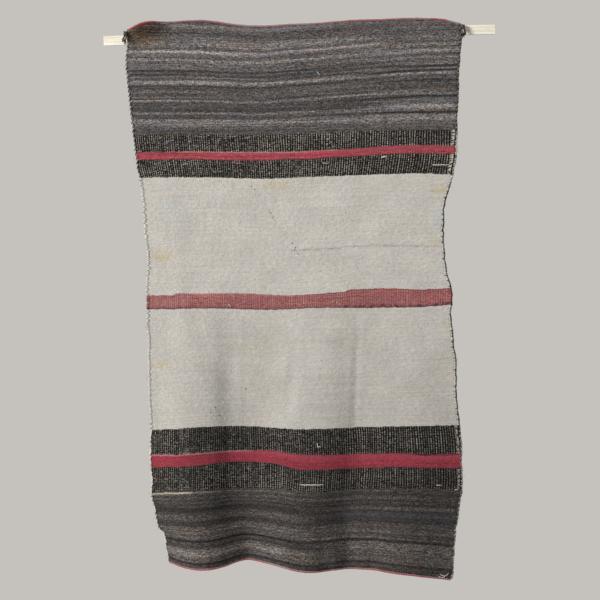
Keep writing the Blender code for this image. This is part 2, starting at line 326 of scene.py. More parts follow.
# How much paler the selvage cords are than their own yarns: share of the way down, 0 none to 1 all pale
LEFT_PALING = (
    (0.0, 0.1), (0.275, 0.1), (0.285, -0.6), (0.55, -0.6), (0.57, 0.6), (0.845, 0.55), (0.87, 0.45),
    (0.935, 0.5), (0.95, 0.9), (1.0, 0.8),
)
# At the right the cord is partly its own dark yarn and partly painted shade, standing in for the shadow
# beside the right edge
RIGHT_PALING_AND_SHADE = (
    (0.0, 0.0), (0.19, 0.0), (0.2, 0.55), (0.28, 0.45), (0.29, -0.6), (0.72, -0.4), (0.73, 0.2),
    (1.0, 0.15),
)

# How full the strands are, against a quarter of the cord's width: share of the way along
TOP_FULLNESS = (
    (0.0, 1.55), (0.02, 1.85), (0.1, 1.75), (0.13, 1.4), (0.35, 1.7), (1.0, 1.55),
)
BOTTOM_FULLNESS = (
    (0.0, 1.25), (0.45, 1.35), (0.7, 1.2), (1.0, 1.3),
)
LEFT_FULLNESS = (
    (0.0, 1.2), (0.275, 1.2), (0.285, 0.62), (0.55, 0.62), (0.57, 1.1), (0.745, 1.1), (0.755, 1.6),
    (0.865, 1.6), (0.88, 1.2), (1.0, 1.2),
)
RIGHT_FULLNESS = (
    (0.0, 1.25), (0.19, 1.25), (0.2, 1.5), (0.275, 1.5), (0.285, 1.3), (0.725, 1.25), (0.735, 1.25),
    (1.0, 1.25),
)

# Wefts turning round the outer warps: spacing, how many turn between two crossings of the selvage
# cords, yarn radius, how far they stand out, and how far they run in over each face
TURN_SPACING = 0.0029
TURNS_PER_GROUP = 4
TURN_RADIUS = 0.0015
TURN_TAIL = 0.0035
TURN_SWELL = 0.0008

# How far the turns stand out at the left and at the right: metres down from the top edge, reach,
# and the share of cord crossings left bare
LEFT_TURNS = (
    (0.0, 0.0024, 1.0), (0.395, 0.0024, 1.0), (0.41, 0.006, 0.9), (0.8, 0.006, 0.9), (0.83, 0.0058, 0.3),
    (1.055, 0.0056, 0.3), (1.075, 0.0034, 1.0), (1.23, 0.0034, 1.0), (1.25, 0.0024, 1.0),
    (1.445, 0.0026, 1.0),
)
RIGHT_TURNS = (
    (0.0, 0.0022, 1.0), (0.395, 0.0026, 1.0), (0.41, 0.0034, 0.7), (0.7, 0.0036, 0.6),
    (1.055, 0.0036, 0.7), (1.075, 0.0022, 1.0), (1.445, 0.0026, 1.0),
)

TURNS = (LEFT_TURNS, RIGHT_TURNS)
SIDES = ("left", "right")

# Yarn ends at each corner tie: length, sideways lean, forward lean, droop, radius, tone (1 pale)
TIE_ENDS = (
    (0.024, 0.2, 0.2, 0.9, 0.0017, 0.0), (0.02, 0.55, 0.05, 0.8, 0.0016, 0.1),
    (0.026, 0.0, 0.35, 1.0, 0.0017, 0.0), (0.016, 0.8, 0.3, 0.6, 0.0013, 0.8),
    (0.021, 0.4, 0.5, 0.9, 0.0016, 0.0), (0.015, -0.3, 0.4, 0.7, 0.0016, 0.2),
    (0.018, 0.7, 0.55, 0.9, 0.0014, 0.0), (0.016, 0.15, 0.7, 0.9, 0.0015, 0.6),
)
TIE_TURNS = 3.0
TIE_RADIUS = 0.0042
TIE_YARN = 0.0017
TIE_CLEARANCE = 0.0065

# Loose weft ends lying on the cloth: x and z of one end, x and z of the other, radius, arch
PALE_FLOATS = (
    (-0.014, -1.1886, 0.0495, -1.1905, 0.0014, 0.002), (0.034, -1.08, 0.036, -1.093, 0.0009, 0.0016),
    (0.035, -1.09, 0.045, -1.091, 0.0009, 0.0016), (0.36, -0.356, 0.408, -0.357, 0.0013, 0.0018),
    (0.227, -0.332, 0.243, -0.329, 0.0018, 0.0024), (0.3453, -1.2025, 0.3593, -1.2025, 0.001, 0.0016),
    (0.394, -1.2172, 0.404, -1.216, 0.001, 0.002), (0.086, -0.279, 0.0895, -0.28, 0.001, 0.0018),
    (0.0935, -0.288, 0.0965, -0.287, 0.001, 0.0018), (0.083, -0.293, 0.086, -0.2925, 0.0009, 0.0016),
    (0.0985, -0.3, 0.101, -0.301, 0.0009, 0.0016), (0.086, -0.709, 0.0895, -0.71, 0.0009, 0.0016),
    (0.097, -0.7125, 0.1, -0.7115, 0.0009, 0.0018), (0.104, -0.7165, 0.107, -0.7175, 0.0008, 0.0016),
    (0.348, -1.439, 0.368, -1.444, 0.0009, 0.004), (0.356, -1.447, 0.37, -1.437, 0.0008, 0.003),
    (0.344, -1.443, 0.36, -1.448, 0.0008, 0.0034), (0.07, -0.342, 0.086, -0.344, 0.0008, 0.0016),
    (-0.3, -0.335, -0.284, -0.333, 0.0008, 0.0016), (0.064, -0.101, 0.072, -0.11, 0.0008, 0.0018),
    (-0.189, -0.708, -0.182, -0.716, 0.0009, 0.0022),
)

# Dark specks of chaff caught in the pale wool: x, z, length
DARK_SPECKS = (
    (0.3828, -0.5935, 0.009), (0.3815, -0.596, 0.008), (0.3872, -0.65, 0.007), (-0.119, -0.3985, 0.003),
    (-0.111, -0.408, 0.0024), (-0.07, -0.47, 0.0034), (-0.065, -0.483, 0.0036), (-0.016, -0.552, 0.0044),
    (-0.008, -0.564, 0.004), (-0.01, -0.57, 0.0036), (-0.002, -0.58, 0.0028), (-0.15, -0.934, 0.0046),
    (-0.201, -0.58, 0.003), (0.377, -0.72, 0.005), (-0.232, -0.98, 0.0034), (-0.244, -0.992, 0.003),
    (-0.222, -1.001, 0.0036), (0.128, -0.475, 0.0024), (0.052, -0.865, 0.0028), (-0.31, -0.455, 0.0024),
    (0.252, -0.812, 0.0024),
)

SPECK_RADII = (0.0004, 0.0009, 0.0005)

# Thin dark thread that comes and goes across the upper cream field: x and z of its bends
DARK_THREAD = (
    (-0.121, -0.39), (-0.108, -0.41), (-0.092, -0.436), (-0.076, -0.462), (-0.064, -0.486),
    (-0.046, -0.515), (-0.028, -0.54), (-0.014, -0.556), (-0.006, -0.572), (0.002, -0.586),
)
DARK_THREAD_RADIUS = 0.00025

# Fuzz standing out along the sides: how many a side, length and radius
FIBRE_COUNT = 170
FIBRE_LENGTH = (0.004, 0.011)
FIBRE_RADIUS = 0.00028

# Twined cords: turn of the twist, and steps along one turn
END_TWIST = 0.013
SELVAGE_TWIST = 0.012
STEPS_PER_TURN = 10
STRAND_SIDES = 6


# Shape of the cloth

def through_table(rows, column, at):
    """A smooth curve through one column of a table whose first column is where each row lies."""
    table = np.array(rows)
    places = table[:, 0]
    values = table[:, column]
    last = len(places) - 1
    before = np.maximum(np.arange(last + 1) - 1, 0)
    after = np.minimum(np.arange(last + 1) + 1, last)
    slopes = (values[after] - values[before]) / (places[after] - places[before])
    low = np.clip(np.searchsorted(places, at) - 1, 0, last - 1)
    span = places[low + 1] - places[low]
    t = (at - places[low]) / span
    return (
        (2 * t ** 3 - 3 * t ** 2 + 1) * values[low]
        + (t ** 3 - 2 * t ** 2 + t) * span * slopes[low]
        + (3 * t ** 2 - 2 * t ** 3) * values[low + 1]
        + (t ** 3 - t ** 2) * span * slopes[low + 1]
    )


def along_table(table, shares):
    """Values of a two-column table at shares of its way, straight from row to row."""
    return np.interp(shares, [row[0] for row in table], [row[1] for row in table])


def bell(distance, left_reach, right_reach):
    """One at the crest, falling smoothly to nothing at the reach on either side."""
    share = distance / np.where(distance > 0, right_reach, left_reach)
    return np.where(np.abs(share) < 1, 0.5 + 0.5 * np.cos(np.pi * share), 0.0)


def unit(vectors):
    """The same directions, each at length one."""
    return np.asarray(vectors) / np.linalg.norm(vectors, axis=-1, keepdims=True)


def soft_noise(x, y, cell_x, cell_y, seed):
    """Smooth noise from -1 to 1 with one random value for each cell."""
    side = 64
    lattice = np.random.default_rng(seed).uniform(-1, 1, (side, side))
    cells = []
    shares = []
    for value in (x / cell_x, y / cell_y):
        cell = np.floor(value).astype(int)
        share = value - cell
        cells.append(cell)
        shares.append(share * share * (3 - 2 * share))
    column, row = cells
    right, up = shares
    near, far = (lattice[column % side, level % side] * (1 - right)
                 + lattice[(column + 1) % side, level % side] * right for level in (row, row + 1))
    return near * (1 - up) + far * up


def line_noise(along, cell, seed):
    """Smooth noise along a line."""
    return soft_noise(along, along * 0, cell, 1.0, seed)


def stand_off(across, down):
    """How far the cloth stands forward of its flat hanging plane: the solid's own folds."""
    depth = np.zeros(np.shape(across))
    for start, crest_top, crest_bottom, height, left_reach, right_reach in FOLDS:
        growth = np.clip((down - start) / (1 - start), 0, None)
        crest = crest_top + (crest_bottom - crest_top) * growth
        depth += height * growth ** 1.3 * bell(across - crest, left_reach, right_reach)
    crest, reach, height, drop = CURL
    lift = np.clip(1 - down / drop, 0, None) ** 2
    return depth + height * lift * bell(across - crest, reach, reach)


def crease_height(x, z):
    """Listed troughs and ridges, each fading out at both ends."""
    total = np.zeros(np.shape(x))
    for x1, z1, x2, z2, half_width, height in CREASES:
        length = math.hypot(x2 - x1, z2 - z1)
        along = ((x - x1) * (x2 - x1) + (z - z1) * (z2 - z1)) / length ** 2
        aside = ((x - x1) * (z2 - z1) - (z - z1) * (x2 - x1)) / length
        total += height * bell(along - 0.5, 0.65, 0.65) * bell(aside, half_width, half_width)
    return total


def side_wobble(down, side):
    """How far a side edge strays outwards, in metres, at a share down."""
    noises = [size * line_noise(down * CLOTH_LENGTH, cell, seed + side)
              for cell, size, seed in SIDE_WOBBLES]
    return sum(noises)


def edge_bow(edge, across):
    """How far an edge's curve lies above the straight line between its ends."""
    start = edge[0][1]
    end = edge[-1][1]
    return through_table(edge, 1, across) - (start + (end - start) * across)


def cloth_point(across, down):
    """Points of the cloth's middle layer at shares across and down, as an array of x, y, z."""
    across, down = np.broadcast_arrays(np.asarray(across, float), np.asarray(down, float))
    left_x, right_x = (through_table(SIDE_EDGES, column, down) for column in (1, 2))
    left_z, right_z = (TOP_EDGE[end][1] * (1 - down) + BOTTOM_EDGE[end][1] * down for end in (0, -1))
    x = left_x + (right_x - left_x) * across
    z = left_z + (right_z - left_z) * across
    z = z + edge_bow(TOP_EDGE, across) * (1 - down) + edge_bow(BOTTOM_EDGE, across) * down
    x = x - side_wobble(down, 0) * np.clip(1 - across / WOBBLE_REACH, 0, 1)
    x = x + side_wobble(down, 1) * np.clip(1 - (1 - across) / WOBBLE_REACH, 0, 1)
    depth = stand_off(across, down) + crease_height(x, z)
    clear_of_lath = np.clip((0.012 - z) / 0.06, 0, 1) * np.clip(-z / 0.03, 0, 1)
    for cell_x, cell_z, height, seed in PUCKERS:
        depth = depth + height * clear_of_lath * (1 + soft_noise(x, z, cell_x, cell_z, seed)) / 2
    return np.stack([x, HANG_Y - depth, z], -1)


def cloth_place(across, points):
    """The cloth's own coordinates: warps across, and metres down with every band line level."""
    across = np.broadcast_to(across, points.shape[:-1])
    z = points[..., 2]
    lines = [through_table(TOP_LINE, 1, across)]
    lines += [through_table(BAND_LINES, column, across) for column in range(1, len(BANDS))]
    lines.append(through_table(BOTTOM_EDGE, 1, across))
    starts = [start for _, start in BANDS] + [CLOTH_LENGTH]
    place = np.zeros(np.shape(z))
    for index in range(len(starts) - 1):
        share = np.minimum((lines[index] - z) / (lines[index] - lines[index + 1]), 1)
        if index > 0:
            share = np.maximum(share, 0)
        place += share * (starts[index + 1] - starts[index])
    crowded = across * (1 + WARP_CROWDING) - across ** 2 * WARP_CROWDING
    return crowded * WARP_COUNT, place


def find_cloth(x, z):
    """The cloth's middle layer at a place seen from the front."""
    across, down = 0.5, 0.5
    for _ in range(8):
        left, right = (through_table(SIDE_EDGES, column, down) for column in (1, 2))
        across = np.clip((x - left) / (right - left), 0, 1)
        top, bottom = (through_table(edge, 1, across) for edge in (TOP_EDGE, BOTTOM_EDGE))
        down = np.clip((z - top) / (bottom - top), 0, 1)
    return cloth_point(across, down)


# Building pieces

def add_object(name, data):
    thing = bpy.data.objects.new(name, data)
    bpy.context.scene.collection.objects.link(thing)
    return thing


def add_piece(name, mesh, material, slot_name, *nodes):
    piece = add_object(name, mesh)
    mesh.materials.append(material)
    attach(piece, "root")
    if nodes:
        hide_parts(*nodes)
    return piece


def make_mesh(name, points, faces):
    mesh = bpy.data.meshes.new(name)
    mesh.from_pydata([tuple(point) for point in points], [], [tuple(face) for face in faces])
    mesh.validate()
    mesh.shade_smooth()
    return mesh


def add_attribute(mesh, name, kind, field, values):
    layer = mesh.attributes.new(name, kind, "POINT")
    layer.data.foreach_set(field, np.asarray(values, dtype=np.float32).ravel())


def grid_faces(rows, columns):
    """Faces of a grid of points, numbered row by row."""
    corners = [row * (columns + 1) + column for row in range(rows) for column in range(columns)]
    return [(at, at + columns + 1, at + columns + 2, at + 1) for at in corners]


def tube_rings(path, radii, sides):
    """Rings of points round a path, square to it."""
    path = np.asarray(path)
    tangents = unit(np.gradient(path, axis=0))
    reference = np.array([0.0, 1.0, 0.0])
    if abs(tangents[:, 1]).max() > 0.9:
        reference = np.array([0.31, 0.22, 0.92])
    first = unit(np.cross(tangents, reference))
    second = np.cross(tangents, first)
    angles = (np.arange(sides) * 2 * math.pi / sides)[None, :, None]
    spokes = np.cos(angles) * first[:, None, :] + np.sin(angles) * second[:, None, :]
    return path[:, None, :] + np.asarray(radii)[:, None, None] * spokes


class TubeSet:
    """Many yarn tubes gathered into one mesh, with a tone for each."""

    def __init__(self):
        self.points = []
        self.faces = []
        self.tones = []
        self.places = []

    def add(self, path, radii, sides, tone=0.0, place=(0.0, 0.0)):
        rings = tube_rings(path, radii, sides)
        count = len(rings)
        base = len(self.points)
        self.points += list(rings.reshape(-1, 3))
        self.tones += list(np.repeat(np.broadcast_to(tone, count), sides))
        self.places += [(*place, 0.0)] * (count * sides)
        for step in range(count - 1):
            for side in range(sides):
                a = base + step * sides + side
                b = base + step * sides + (side + 1) % sides
                self.faces.append((a, b, b + sides, a + sides))
        last = base + (count - 1) * sides
        self.faces.append(tuple(base + side for side in reversed(range(sides))))
        self.faces.append(tuple(last + side for side in range(sides)))

    def mesh(self, name):
        mesh = make_mesh(name, self.points, self.faces)
        add_attribute(mesh, "tone", "FLOAT", "value", self.tones)
        add_attribute(mesh, "weave", "FLOAT_VECTOR", "vector", self.places)
        return mesh


# Materials

def linear(colour):
    """sRGB from 0 to 255 as scene linear, with alpha."""
    shares = [value / 255 for value in colour]
    return tuple(((s + 0.055) / 1.055) ** 2.4 if s > 0.04045 else s / 12.92 for s in shares) + (1.0,)


class Wire:
    """A value in a material's graph, so that sums and products of it read as such."""

    def __init__(self, graph, socket):
        self.graph = graph
        self.socket = socket

    def __add__(self, other):
        return self.graph.maths("ADD", self, other)

    def __sub__(self, other):
        return self.graph.maths("SUBTRACT", self, other)

    def __rsub__(self, other):
        return self.graph.maths("SUBTRACT", other, self)

    def __mul__(self, other):
        return self.graph.maths("MULTIPLY", self, other)

    __radd__ = __add__
    __rmul__ = __mul__


class Graph:
    """Short names for the shader nodes that the materials use."""

    def __init__(self, name, roughness):
        self.material = bpy.data.materials.new(name)
        self.material.use_nodes = True
        self.tree = self.material.node_tree
        self.shader = self.tree.nodes["Principled BSDF"]
        self.shader.inputs["Roughness"].default_value = roughness
        self.shader.inputs["Specular IOR Level"].default_value = 0.2

    def join(self, source, target):
        if isinstance(source, Wire):
            self.tree.links.new(source.socket, target)
        else:
            target.default_value = source

    def node(self, kind, inputs=(), **settings):
        node = self.tree.nodes.new("ShaderNode" + kind)
        for key, value in settings.items():
            setattr(node, key, value)
        for key, value in dict(inputs).items():
            self.join(value, node.inputs[key])
        return node

    def wire(self, kind, inputs=(), output=0, **settings):
        return Wire(self, self.node(kind, inputs, **settings).outputs[output])

    def parts(self, kind, value):
        return [Wire(self, output) for output in self.node(kind, {0: value}).outputs]

    def maths(self, operation, a, b=0.0):
        return self.wire("Math", {0: a, 1: b}, operation=operation)

    def rise(self, value, low, high):
        """From 0 at low to 1 at high, smoothly. Low may be above high."""
        inputs = {"Value": value, "From Min": low, "From Max": high}
        return self.wire("MapRange", inputs, interpolation_type="SMOOTHSTEP")

    def blend(self, factor, a, b, kind="MIX"):
        return self.wire("Mix", {0: factor, 6: a, 7: b}, 2, data_type="RGBA", blend_type=kind)

    def tint(self, colour, by, amount=1.0):
        """The colour multiplied by a tint or a tone, as far as amount says."""
        return self.blend(amount, colour, by, "MULTIPLY")

    def vector(self, x, y, z=0.0):
        return self.wire("CombineXYZ", {0: x, 1: y, 2: z})

    def noise(self, place, detail=2.0, roughness=0.5, scale=1.0):
        """Noise from 0 to 1 at a place, given as a vector or as its parts."""
        if isinstance(place, tuple):
            place = self.vector(*place)
        inputs = {"Vector": place, "Scale": scale, "Detail": detail, "Roughness": roughness}
        return self.wire("TexNoise", inputs, "Fac")

    def random(self, value):
        return self.wire("TexWhiteNoise", {"W": value}, "Value", noise_dimensions="1D")

    def object_place(self):
        return self.wire("TexCoord", (), "Object")

    def attribute(self, name, output="Fac"):
        return self.wire("Attribute", (), output, attribute_name=name)

    def finish(self, colour, height):
        bump = self.wire("Bump", {"Strength": 1.0, "Distance": 1.0, "Height": height})
        self.join(colour, self.shader.inputs["Base Color"])
        self.join(bump, self.shader.inputs["Normal"])
        return self.material


def mixed(factor, a, b):
    return a * (1.0 - factor) + b * factor


def tone_curve(graph, value, table):
    """A curve through a table of places and tones, read at value in metres."""
    length = table[-1][0]
    node = graph.node("FloatCurve", {"Value": value * (1 / length)})
    points = node.mapping.curves[0].points
    points[0].location = (0.0, table[0][1] / TONE_RANGE)
    points[-1].location = (1.0, table[-1][1] / TONE_RANGE)
    for place, tone in table[1:-1]:
        points.new(place / length, tone / TONE_RANGE)
    for point in points:
        point.handle_type = "VECTOR"
    node.mapping.update()
    return Wire(graph, node.outputs[0]) * TONE_RANGE


def yarn_values(yarn):
    """A yarn's colour, and its six habits as two groups of three."""
    colour, *habits = YARNS[yarn]
    return linear(colour), (*habits[:3], 1.0), (*habits[3:], 1.0)


def add_thread(graph, colour, warp, place, left, right, first, last, half_width, paint, strength, broken):
    """One odd weft thread laid over the colour so far."""
    level = left + warp * ((right - left) / WARP_COUNT)
    off = graph.maths("ABSOLUTE", place - level)
    mask = graph.rise(off, half_width, half_width * 0.3)
    mask = mask * graph.rise(warp, first - 2.0, first + 2.0) * graph.rise(warp, last + 2.0, last - 2.0)
    gaps = graph.rise(graph.noise((warp * 0.45, left * 100)), 0.58, 0.44)
    return graph.blend(mask * (1.0 - gaps * broken) * strength, colour, linear(paint))


def weave_material():
    """Weft-faced wool: bands, heather, pale warps showing through, and the relief of the weave."""
    graph = Graph("woven_wool", 0.92)
    noise, rise, maths, tint, blend = graph.noise, graph.rise, graph.maths, graph.tint, graph.blend
    warp, down, _ = graph.parts("SeparateXYZ", graph.attribute("weave", "Vector"))
    metres = graph.vector(warp * 0.006, down)

    # Warps wander a little, and each has its own number
    drift = noise((warp * 0.11, down * 9.0), 1.0) - 0.5
    warp = warp + drift * 1.6
    number = maths("FLOOR", warp)
    from_middle = maths("ABSOLUTE", maths("FRACT", warp) - 0.5)
    ridge = rise(from_middle, 0.5, 0.0)

    # Weft rows waver too, and each row has its own number
    sway = noise((warp * 0.07, down * 12.0), 1.0) - 0.5
    wavering = down + sway * 0.006
    rows = wavering * (1 / WEFT_PITCH)
    row_number = maths("FLOOR", rows)

    # Band lines step by a weft or so from warp to warp
    ragged = (graph.random(number) - 0.5) * 0.0016
    waver = noise((warp * 0.21, 3.0), 1.0) - 0.5
    line_place = down + (ragged + waver * 0.0030)
    values = yarn_values(BANDS[0][0])
    for yarn, start in BANDS[1:]:
        begun = rise(line_place, start - LINE_BLUR, start + LINE_BLUR)
        values = [blend(begun, *pair) for pair in zip(values, yarn_values(yarn))]
    colour, habit, manner = values
    warp_shows, uneven, flecked = graph.parts("SeparateColor", habit)
    streaked, tinted, ribbed = graph.parts("SeparateColor", manner)

    # Tones of the heathered stripes, which change half way across where the weaver joined new yarn
    stripe_drift = noise((warp * 0.05, down * 6.0), 1.0) - 0.5
    stripe_place = down + stripe_drift * 0.003
    join = warp + (noise((0.0, down * 45.0), 1.0) - 0.5) * 60.0
    first, climb = LEFT_STRIPES_RISE
    last, fall = RIGHT_STRIPES_FALL
    level_again = rise(down, *STRIPES_LEVEL_AGAIN)
    beyond = maths("MAXIMUM", warp - first, 0.0)
    before = maths("MAXIMUM", last - warp, 0.0)
    upper = mixed(rise(join, *UPPER_JOIN),
                  tone_curve(graph, stripe_place + beyond * climb * level_again, UPPER_LEFT),
                  tone_curve(graph, stripe_place + before * fall * level_again, UPPER_RIGHT))
    upper_end = BANDS[1][1]
    lower_start = BANDS[-1][1]
    lower_place = stripe_place - lower_start
    lower = mixed(rise(join, *LOWER_JOIN), tone_curve(graph, lower_place, LOWER_LEFT),
                  tone_curve(graph, lower_place, LOWER_RIGHT))
    in_upper = rise(line_place, upper_end + LINE_BLUR, upper_end - LINE_BLUR)
    in_lower = rise(line_place, lower_start - LINE_BLUR, lower_start + LINE_BLUR)
    stripes = 1.0 + in_upper * (upper - 1.0) + in_lower * (lower - 1.0)
    stripes = maths("POWER", stripes, TONE_POWER)

    # Unevenness of handspun yarn: from row to row, in long streaks, flecks, dark gaps, patches and slubs
    from_rows = noise((warp * 0.55, row_number * 5.37), 2.0, 0.7) - 0.5
    from_streaks = noise((warp * 0.018, rows * 0.62, 4.0), 2.0, 0.6) - 0.5
    fleck = noise(metres, 2.0, 0.6, 260.0) - 0.5
    patch = noise(metres, 3.0, scale=14.0) - 0.5
    gaps = rise(noise((warp * 0.95, rows * 0.75, 6.0), 1.0), 0.42, 0.26)
    slubs = noise((warp * 0.42, rows * 0.36, 8.0), 2.0, 0.6)
    change = from_rows * uneven * 4.2 + fleck * flecked * 3.1 + gaps * flecked * -0.65
    change = change + from_streaks * streaked * 2.6 + patch * 0.34 + (slubs - 0.5) * 0.45
    share = maths("MAXIMUM", 1.0 + change * (1 / DISPLAY_POWER), 0.1)
    colour = tint(colour, maths("POWER", share, DISPLAY_POWER) * stripes)
    hue = noise((warp * 0.05, down * 60.0))
    colour = tint(colour, BLUISH, rise(hue, 0.52, 0.66) * tinted)
    colour = tint(colour, BROWNISH, rise(hue, 0.48, 0.34) * tinted)

    # Pale warps between the dark wefts, broken where a weft crosses
    thread = rise(from_middle, 0.24, 0.08)
    crossing = rise(noise((number * 7.31, down * 300.0)), 0.36, 0.60)
    open_area = rise(noise((warp * 0.035, down * 16.0)), 0.30, 0.70)
    own_share = 0.55 + graph.random(number + 0.4) * 0.65
    beat = maths("FRACT", wavering * (1 / GRID_PITCH))
    weft_gap = rise(maths("ABSOLUTE", beat - 0.5), 0.46, 0.20)
    shows = thread * crossing * (0.45 + open_area * 0.45) * own_share * (0.28 + weft_gap * 0.72)

    # Short pale dashes along the wefts, and a row of pale stitches at the right edge
    dashes = noise((warp * 0.38, row_number * 3.91, 2.0), 2.0, 0.6) - 0.5
    dashes = rise(dashes, 0.07, 0.22) * (0.40 + rise(warp, *DASHES_THIN_OUT) * 0.60)
    shows = maths("MAXIMUM", shows, dashes * 0.42)
    first, last = OUTER_WARPS
    outer = rise(warp, first, first + 0.5) * rise(warp, last, last - 0.5)
    stitches = noise((down * 230.0, warp * 0.6), 1.0)
    outer = outer * rise(warp_shows, 0.57, 0.65) * rise(stitches, 0.44, 0.54)
    shows = maths("MAXIMUM", shows, outer * 0.75) * warp_shows
    colour = blend(shows, colour, linear(WARP_COLOUR))

    # The lower half darkened by painted shade, odd threads, painted brownish shade in the curled corner,
    # stains and cool places
    begin, end, loss = PAINTED_LOWER_SHADE
    colour = tint(colour, 1.0 - rise(down, begin, end) * loss)
    for row in THREADS:
        colour = add_thread(graph, colour, warp, line_place, *row)
    # Painted brownish shade in the hollow under the curled top corner
    colour = tint(colour, PAINTED_HOLLOW_SHADE_TINT, graph.attribute("hollow_shade"))
    stain = graph.attribute("stain")
    blotch = noise((warp * 0.12, down * 110.0), 3.0) - 0.5
    colour = tint(colour, STAIN_TINT, rise(stain, 0.0, 1.1) * (1.0 + blotch * 3.2))
    colour = tint(colour, COOL_TINT, rise(stain, 0.0, -1.0))

    # Relief: a rib for each warp, beads where wefts pass over it, fuzz, slubs and dents
    weft = rows + maths("PINGPONG", number, 1.0) * 0.5
    bead = maths("SINE", maths("FRACT", weft) * math.pi)
    fuzz = noise(metres, 2.0, 0.7, 900.0)
    dents = noise(metres, scale=120.0)
    height = ridge * ribbed * 0.00040 + bead * 0.00014 + fuzz * 0.00016 + from_rows * 0.0005
    return graph.finish(colour, height + slubs * 0.0018 + dents * 0.0007)


def yarn_material(name, base, other):
    """Plied wool yarn; the piece's tone attribute moves its colour from base to other."""
    graph = Graph(name, 0.9)
    place = graph.object_place()
    fibre = graph.noise(place, 2.0, 0.7, 900.0)
    worn = graph.noise(place, scale=60.0)
    colour = graph.blend(graph.attribute("tone"), linear(base), linear(other))
    colour = graph.tint(colour, 0.75 + (fibre * 0.35 + worn * 0.25))
    return graph.finish(colour, fibre * 0.0004)


def wood_material():
    """Pale smooth softwood, its grain along the lath."""
    graph = Graph("pale_lath_wood", 0.5)
    x, y, z = graph.parts("SeparateXYZ", graph.object_place())
    stretched = graph.vector(x * 3.0, y * 90.0, z * 90.0)
    grain = graph.noise(stretched, 4.0, 0.65, 3.0)
    pores = graph.noise(stretched, scale=14.0)
    pale, deeper, pore = (linear(colour) for colour in LATH_COLOURS)
    colour = graph.blend(graph.rise(grain, 0.35, 0.7), pale, deeper)
    colour = graph.blend(graph.rise(pores, 0.62, 0.75), colour, pore)
    return graph.finish(colour, pores * 0.0001)


# The blanket's pieces

def blotches(points, table):
    """Sum of soft round marks at points of the cloth."""
    total = np.zeros(points.shape[:-1])
    for x, z, half_width, half_height, strength in table:
        reach_x = bell(points[..., 0] - x, half_width, half_width)
        reach_z = bell(points[..., 2] - z, half_height, half_height)
        total += strength * reach_x * reach_z
    return total


def add_cloth(material):
    """The woven sheet, both faces, on the solid's outline and folds."""
    across = np.linspace(0, 1, CLOTH_COLUMNS + 1)[None, :]
    down = np.linspace(0, 1, CLOTH_ROWS + 1)[:, None]
    points = cloth_point(across, down)
    warps, places = cloth_place(across, points)
    mesh = make_mesh("woven_blanket", points.reshape(-1, 3), grid_faces(CLOTH_ROWS, CLOTH_COLUMNS))
    weave = np.stack([warps, places, np.zeros_like(places)], -1)
    add_attribute(mesh, "weave", "FLOAT_VECTOR", "vector", weave)
    add_attribute(mesh, "stain", "FLOAT", "value", blotches(points, STAINS))
    # Where the painted brownish shade lies in the hollow under the curled corner
    add_attribute(mesh, "hollow_shade", "FLOAT", "value", blotches(points, PAINTED_HOLLOW_SHADE))
    cloth = add_piece("woven_blanket", mesh, material, "undyed_wool", "blanket_cloth")
    sheet = cloth.modifiers.new("thickness", "SOLIDIFY")
    sheet.thickness = CLOTH_THICKNESS
    sheet.offset = 0.0
    return cloth


def edge_path(across, down, step_across, step_down, diameter):
    """Points of a cord beside an edge of the cloth, square to it; the steps lead into the cloth."""
    edge = cloth_point(across, down)
    along = unit(np.gradient(edge, axis=0))
    out = edge - cloth_point(across + step_across, down + step_down)
    out -= along * (out * along).sum(1)[:, None]
    return edge + unit(out) * (diameter / 2 + PIECE_GAP)


def twined_cord(name, node, path, kind, tones, fading, mottle, fullness):
    """Two strands twisted round each other, each with its tone; they fade and swell along the cord."""
    diameter, twist, material, slot_name = kind
    steps = np.linalg.norm(np.diff(path, axis=0), axis=1)
    along = np.concatenate([[0.0], np.cumsum(steps)])
    even = np.linspace(0, along[-1], int(along[-1] / twist * STEPS_PER_TURN) + 1)
    line = np.stack([np.interp(even, along, path[:, axis]) for axis in range(3)], -1)
    tangents = unit(np.gradient(line, axis=0))
    first = unit(np.cross(tangents, [0.0, 1.0, 0.0]))
    second = np.cross(tangents, first)
    strands = TubeSet()
    radius = diameter / 4
    for strand, tone in enumerate(tones):
        angle = even * 2 * math.pi / twist + strand * 2 * math.pi / len(tones)
        centre = line + radius * (np.cos(angle)[:, None] * first + np.sin(angle)[:, None] * second)
        unevenness = 1 + 0.24 * line_noise(even, 0.009, 31 + strand)
        swollen = radius * along_table(fullness, even / even[-1])
        faded = along_table(fading, even / even[-1]) * (1 + mottle * line_noise(even, 0.014, 35 + strand))
        strands.add(centre, swollen * unevenness, STRAND_SIDES, np.clip(tone + faded, 0, 1))
    return add_piece(name, strands.mesh(name), material, slot_name, node)


def add_cords(red, selvage):
    shares = np.linspace(0, 1, 400)
    start = shares * 0
    step = 0.002
    end_kind = (END_CORD_DIAMETER, END_TWIST, red, "red_yarn")
    side_kind = (SELVAGE_CORD_DIAMETER, SELVAGE_TWIST, selvage, "dark_yarn")
    cords = (
        ("end_top", "end_cord_top", (shares, start, 0, step), end_kind,
         (0.0, 0.15), TOP_FADING, 0.8, TOP_FULLNESS),
        ("end_bottom", "end_cord_bottom", (shares, start + 1, 0, -step), end_kind,
         (0.0, 0.15), BOTTOM_FADING, 0.8, BOTTOM_FULLNESS),
        ("selvage_left", "selvage_cord_left", (start, shares, step, 0), side_kind,
         (0.0, 0.7), LEFT_PALING, 1.3, LEFT_FULLNESS),
        # The right cord's pale strand is darker than the left's (0.35 against 0.7): painted shade for the
        # right edge, which lies in shadow
        ("selvage_right", "selvage_cord_right", (start + 1, shares, -step, 0), side_kind,
         (0.0, 0.35), RIGHT_PALING_AND_SHADE, 1.0, RIGHT_FULLNESS),
    )
    return [twined_cord("twined_" + name, node, edge_path(*route, kind[0]), kind, *looks)
            for name, node, route, kind, *looks in cords]


